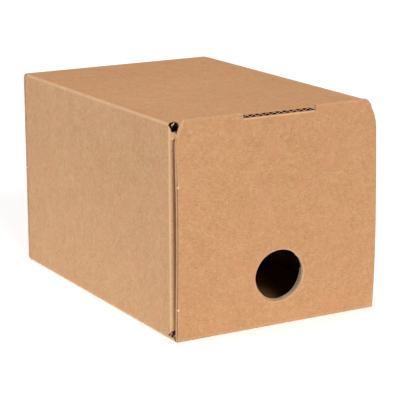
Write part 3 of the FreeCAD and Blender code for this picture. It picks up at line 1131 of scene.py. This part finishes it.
def tap_hole():
    """The tap hole's outline, with its nicks."""
    hole = []
    for i in range(TAP_POINTS):
        angle = 360.0 * i / TAP_POINTS
        near = min(abs((angle - nick + 180.0) % 360.0 - 180.0) for nick in NICKS)
        share = 1.0 - NICK_DEPTH * max(0.0, 1.0 - near / NICK_REACH)
        across = TAP_HALF_WIDTH * share * math.cos(math.radians(angle))
        up = TAP_HALF_HEIGHT * share * math.sin(math.radians(angle))
        hole.append((FLAP_SHIFT + across, TAP_HEIGHT + up))
    return hole


def make_flap_panel(papers):
    """The outer flap's panel, with its rounded corners, tab notch and tap hole."""
    root = TAB_CENTRE + TAB_JOINT

    def half(side):
        """One half of the outline, as if it were the right one, from the root to the notch."""
        edge, corner = (FLAP_RIGHT, RIGHT_INSET) if side > 0 else (-FLAP_LEFT, LEFT_INSET)
        rise = math.sqrt(2 * CORNER_RADIUS * corner - corner ** 2)
        swing = math.degrees(math.asin(rise / CORNER_RADIUS))
        points = [(edge, FLAP_ROOT)]
        points += arc((edge - CORNER_RADIUS, FLAP_TOP - rise), CORNER_RADIUS, 0, swing, 22)
        return points + [(NOTCH_HALF, FLAP_TOP), (NOTCH_HALF, root)]

    board = Board(
        lambda u, v, w: (u, w - bow(u, v), v), flap_blank, joint=joins_at(FLAP_ROOT, root),
        cuts=(EDGE_CUT, HOLE_CUT),
    )
    board.add(
        papers, [half(1) + mirrored(half(-1)), tap_hole()],
        steps(-FLAP_HALF, FLAP_HALF, PANEL_STEP), steps(FLAP_ROOT, FLAP_TOP, PANEL_STEP),
    )


def make_locking_tab(papers):
    """The tab that folds back from the flap's top edge and drops into the slot."""
    fold = Fold((0.0, TAB_CENTRE), (0.0, 1.0), (-1.0, 0.0), TAB_ANGLE, CREASE_RADIUS)

    def place(u, v, w):
        """The tab goes with the bulge of the flap's top edge."""
        d, z = fold.at(v, w)
        return (u, d - bow(u, min(z, TAB_CENTRE)), z)

    end = fold.length + (SLOT_BACK + TAB_LENGTH - TAB_ROOT_D) * TAB_SLANT
    radius = TAB_TIP_RADIUS
    right = [(NOTCH_HALF, TAB_JOINT), (NOTCH_HALF, fold.length * 0.4), (TAB_HALF, fold.length)]
    right += arc((TAB_HALF - radius, end - radius), radius, 0, 90, 12)
    board = Board(
        place, lambda u, v: flap_blank(u, TAB_CENTRE + v), lambda u, v: fold.crest(v),
        lambda a, b: same(a[1], TAB_JOINT, 0.1) or same(b[1], TAB_JOINT, 0.1),
    )
    lines = steps(-NOTCH_HALF, NOTCH_HALF, PANEL_STEP)
    board.add(papers, [right + mirrored(right)], lines, fold.lines())


def make_crease_roll(liners):
    """The crushed board inside the crease, between the flap and the bottom wall."""
    middle = BOARD / 2
    section = [(BOARD, FLAP_ROOT)] + arc((middle, middle), middle, 0, -180, 14)
    section += [(0.0, FLAP_ROOT)]
    rings = []
    for x in steps(FLAP_LEFT + EDGE_INSET, FLAP_RIGHT - EDGE_INSET, 2 * PANEL_STEP):
        rings.append([
            liners.vertex((x, d - bow(x, z), z), (FLAT_WIDTH / 2 - x, -z, d), 0.25)
            for d, z in section
        ])
    liners.loft(rings, OUTSIDE, CUT_LIT)


def make_flap_tufts(liners):
    """Small torn tufts where the flap was held in the sheet, on its left edge."""
    edge = FLAP_LEFT
    for z in (110.0, 23.6):
        front = -bow(edge, z)
        path = [
            (edge + 1.3, front + 0.1, z + 0.4), (edge + 0.4, front - 0.35, z + 0.2),
            (edge - 0.4, front - 0.2, z - 0.2),
        ]
        add_shred(liners, path, (0.0, 0.2, 1.0), 1.8)


# ---- assembly


# The liners and the flutes of each body.
carton = (Papers(), Papers())
make_tube(carton)
make_front_top(carton)
make_sill(carton)
make_glue_lap(carton)
for side in (-1, 1):
    make_dust_flap(carton, side)
    make_back_flap(carton, side)
    make_back_dust_flap(carton, side)
make_shreds(carton[0])

flap = (Papers(), Papers())
make_flap_panel(flap)
make_locking_tab(flap)
make_crease_roll(flap[0])
make_flap_tufts(flap[0])

for papers, name, body, node in (
    (carton[0], "carton_liners", "carton", "carton_body"),
    (carton[1], "carton_flutes", "carton", None),
    (flap[0], "flap_liners", "flap", "front_flap"),
    (flap[1], "flap_flutes", "flap", None),
):
    piece = papers.build(name, PAPERS)
    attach(piece, body)
    if node:
        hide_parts(node)


# ---- stage, light and camera


WHITE = (1.0, 1.0, 1.0, 1.0)
WORLD_STRENGTH = 0.18

# The floor: what the camera sees of it, and what it gives the object.
FLOOR_SEEN = (0.72, 0.72, 0.72, 1.0)
FLOOR_GLOW = 0.52
FLOOR_GIVEN = (0.88, 0.88, 0.88, 1.0)
TABLE_COLOUR = (0.92, 0.98, 1.0, 1.0)
TABLE_LIGHT = 0.38
TABLE_NEAR = 0.12
TABLE_FAR = 0.36

# Each lamp's name, azimuth and elevation in degrees, distance and size in metres, watts and colour.
LAMPS = (
    ("front_lamp", -7.0, 30.0, 10.0, 3.2, 519.0, (1.0, 0.98, 0.88)),
    ("left_lamp", -95.0, 5.0, 6.0, 2.6, 207.0, (0.70, 0.89, 1.0)),
    ("top_lamp", 155.0, 84.0, 8.0, 4.8, 275.0, (1.0, 0.93, 0.91)),
)
LAMP_AIM = Vector((0.0, 0.0, 0.07))


def make_floor():
    """A pale floor that the camera sees as white, with the object's soft shadow.

    Around the object it is lit from below, as on a light table.
    """
    g = Graph(bpy.data.materials.new("pale_floor"))

    def glowing(colour, glow, strength):
        matte = g.add("BsdfDiffuse", {"Color": colour}).outputs[0]
        light = g.add("Emission", {"Color": glow, "Strength": strength}).outputs[0]
        return g.add("AddShader", {0: matte, 1: light})

    where = g.add("TexCoord").outputs["Object"]
    away = g.add("VectorMath", {0: where}, operation="LENGTH").outputs["Value"]
    light = g.ramp(away, TABLE_NEAR, TABLE_FAR, TABLE_LIGHT, 0.0)
    given = glowing(FLOOR_GIVEN, TABLE_COLOUR, light)
    seen = glowing(FLOOR_SEEN, WHITE, FLOOR_GLOW)
    g.add("OutputMaterial", {"Surface": g.by_camera(given, seen)})
    mesh = bpy.data.meshes.new("floor")
    size = 6.0
    corners = [(-size, -size, 0), (size, -size, 0), (size, size, 0), (-size, size, 0)]
    mesh.from_pydata(corners, [], [(0, 1, 2, 3)])
    mesh.materials.append(g.owner)
    floor = add_object("floor", mesh)


def make_world():
    """Even white surroundings, and a plain white background for the camera."""
    world = bpy.data.worlds.new("studio")
    bpy.context.scene.world = world
    g = Graph(world)
    light = g.add("Background", {"Color": WHITE, "Strength": WORLD_STRENGTH})
    white = g.add("Background", {"Color": WHITE, "Strength": 1.0})
    g.add("OutputWorld", {"Surface": g.by_camera(light, white)})


def direction(azimuth, elevation):
    """From the object outwards: azimuth 0 is its front, and 90 its right side."""
    turn, rise = math.radians(azimuth), math.radians(elevation)
    flat = math.cos(rise)
    return Vector((math.sin(turn) * flat, -math.cos(turn) * flat, math.sin(rise)))


def add_lamp(name, azimuth, elevation, distance, size, power, colour):
    """A large soft lamp that looks at the middle of the carton."""
    data = bpy.data.lights.new(name, "AREA")
    data.shape = "DISK"
    data.size = size
    data.energy = power
    data.color = colour
    lamp = add_object(name, data)
    away = direction(azimuth, elevation)
    lamp.location = LAMP_AIM + away * distance
    lamp.rotation_mode = "QUATERNION"
    lamp.rotation_quaternion = (-away).to_track_quat("-Z", "Y")


def make_camera():
    """The camera as fitted to the photograph: from the front left, a little above."""
    azimuth, elevation, roll = -29.668, 13.947, math.radians(-0.2486)
    aim = Vector((-0.03784, -0.07780, 0.08623))
    distance = 1.21133
    back = direction(azimuth, elevation)
    level = (-back).cross(Vector((0, 0, 1))).normalized()
    upright = level.cross(-back)
    right = level * math.cos(roll) + upright * math.sin(roll)
    up = upright * math.cos(roll) - level * math.sin(roll)
    data = bpy.data.cameras.new("camera")
    data.sensor_width = 36.0
    data.lens = 153.08
    data.clip_start = 0.05
    data.clip_end = 50.0
    camera = add_object("camera", data)
    turn = Matrix((right, up, back)).transposed()
    camera.matrix_world = Matrix.Translation(aim + back * distance) @ turn.to_4x4()
    bpy.context.scene.camera = camera


make_floor()
make_world()
for lamp in LAMPS:
    add_lamp(*lamp)
make_camera()
bpy.context.scene.view_settings.view_transform = "Standard"
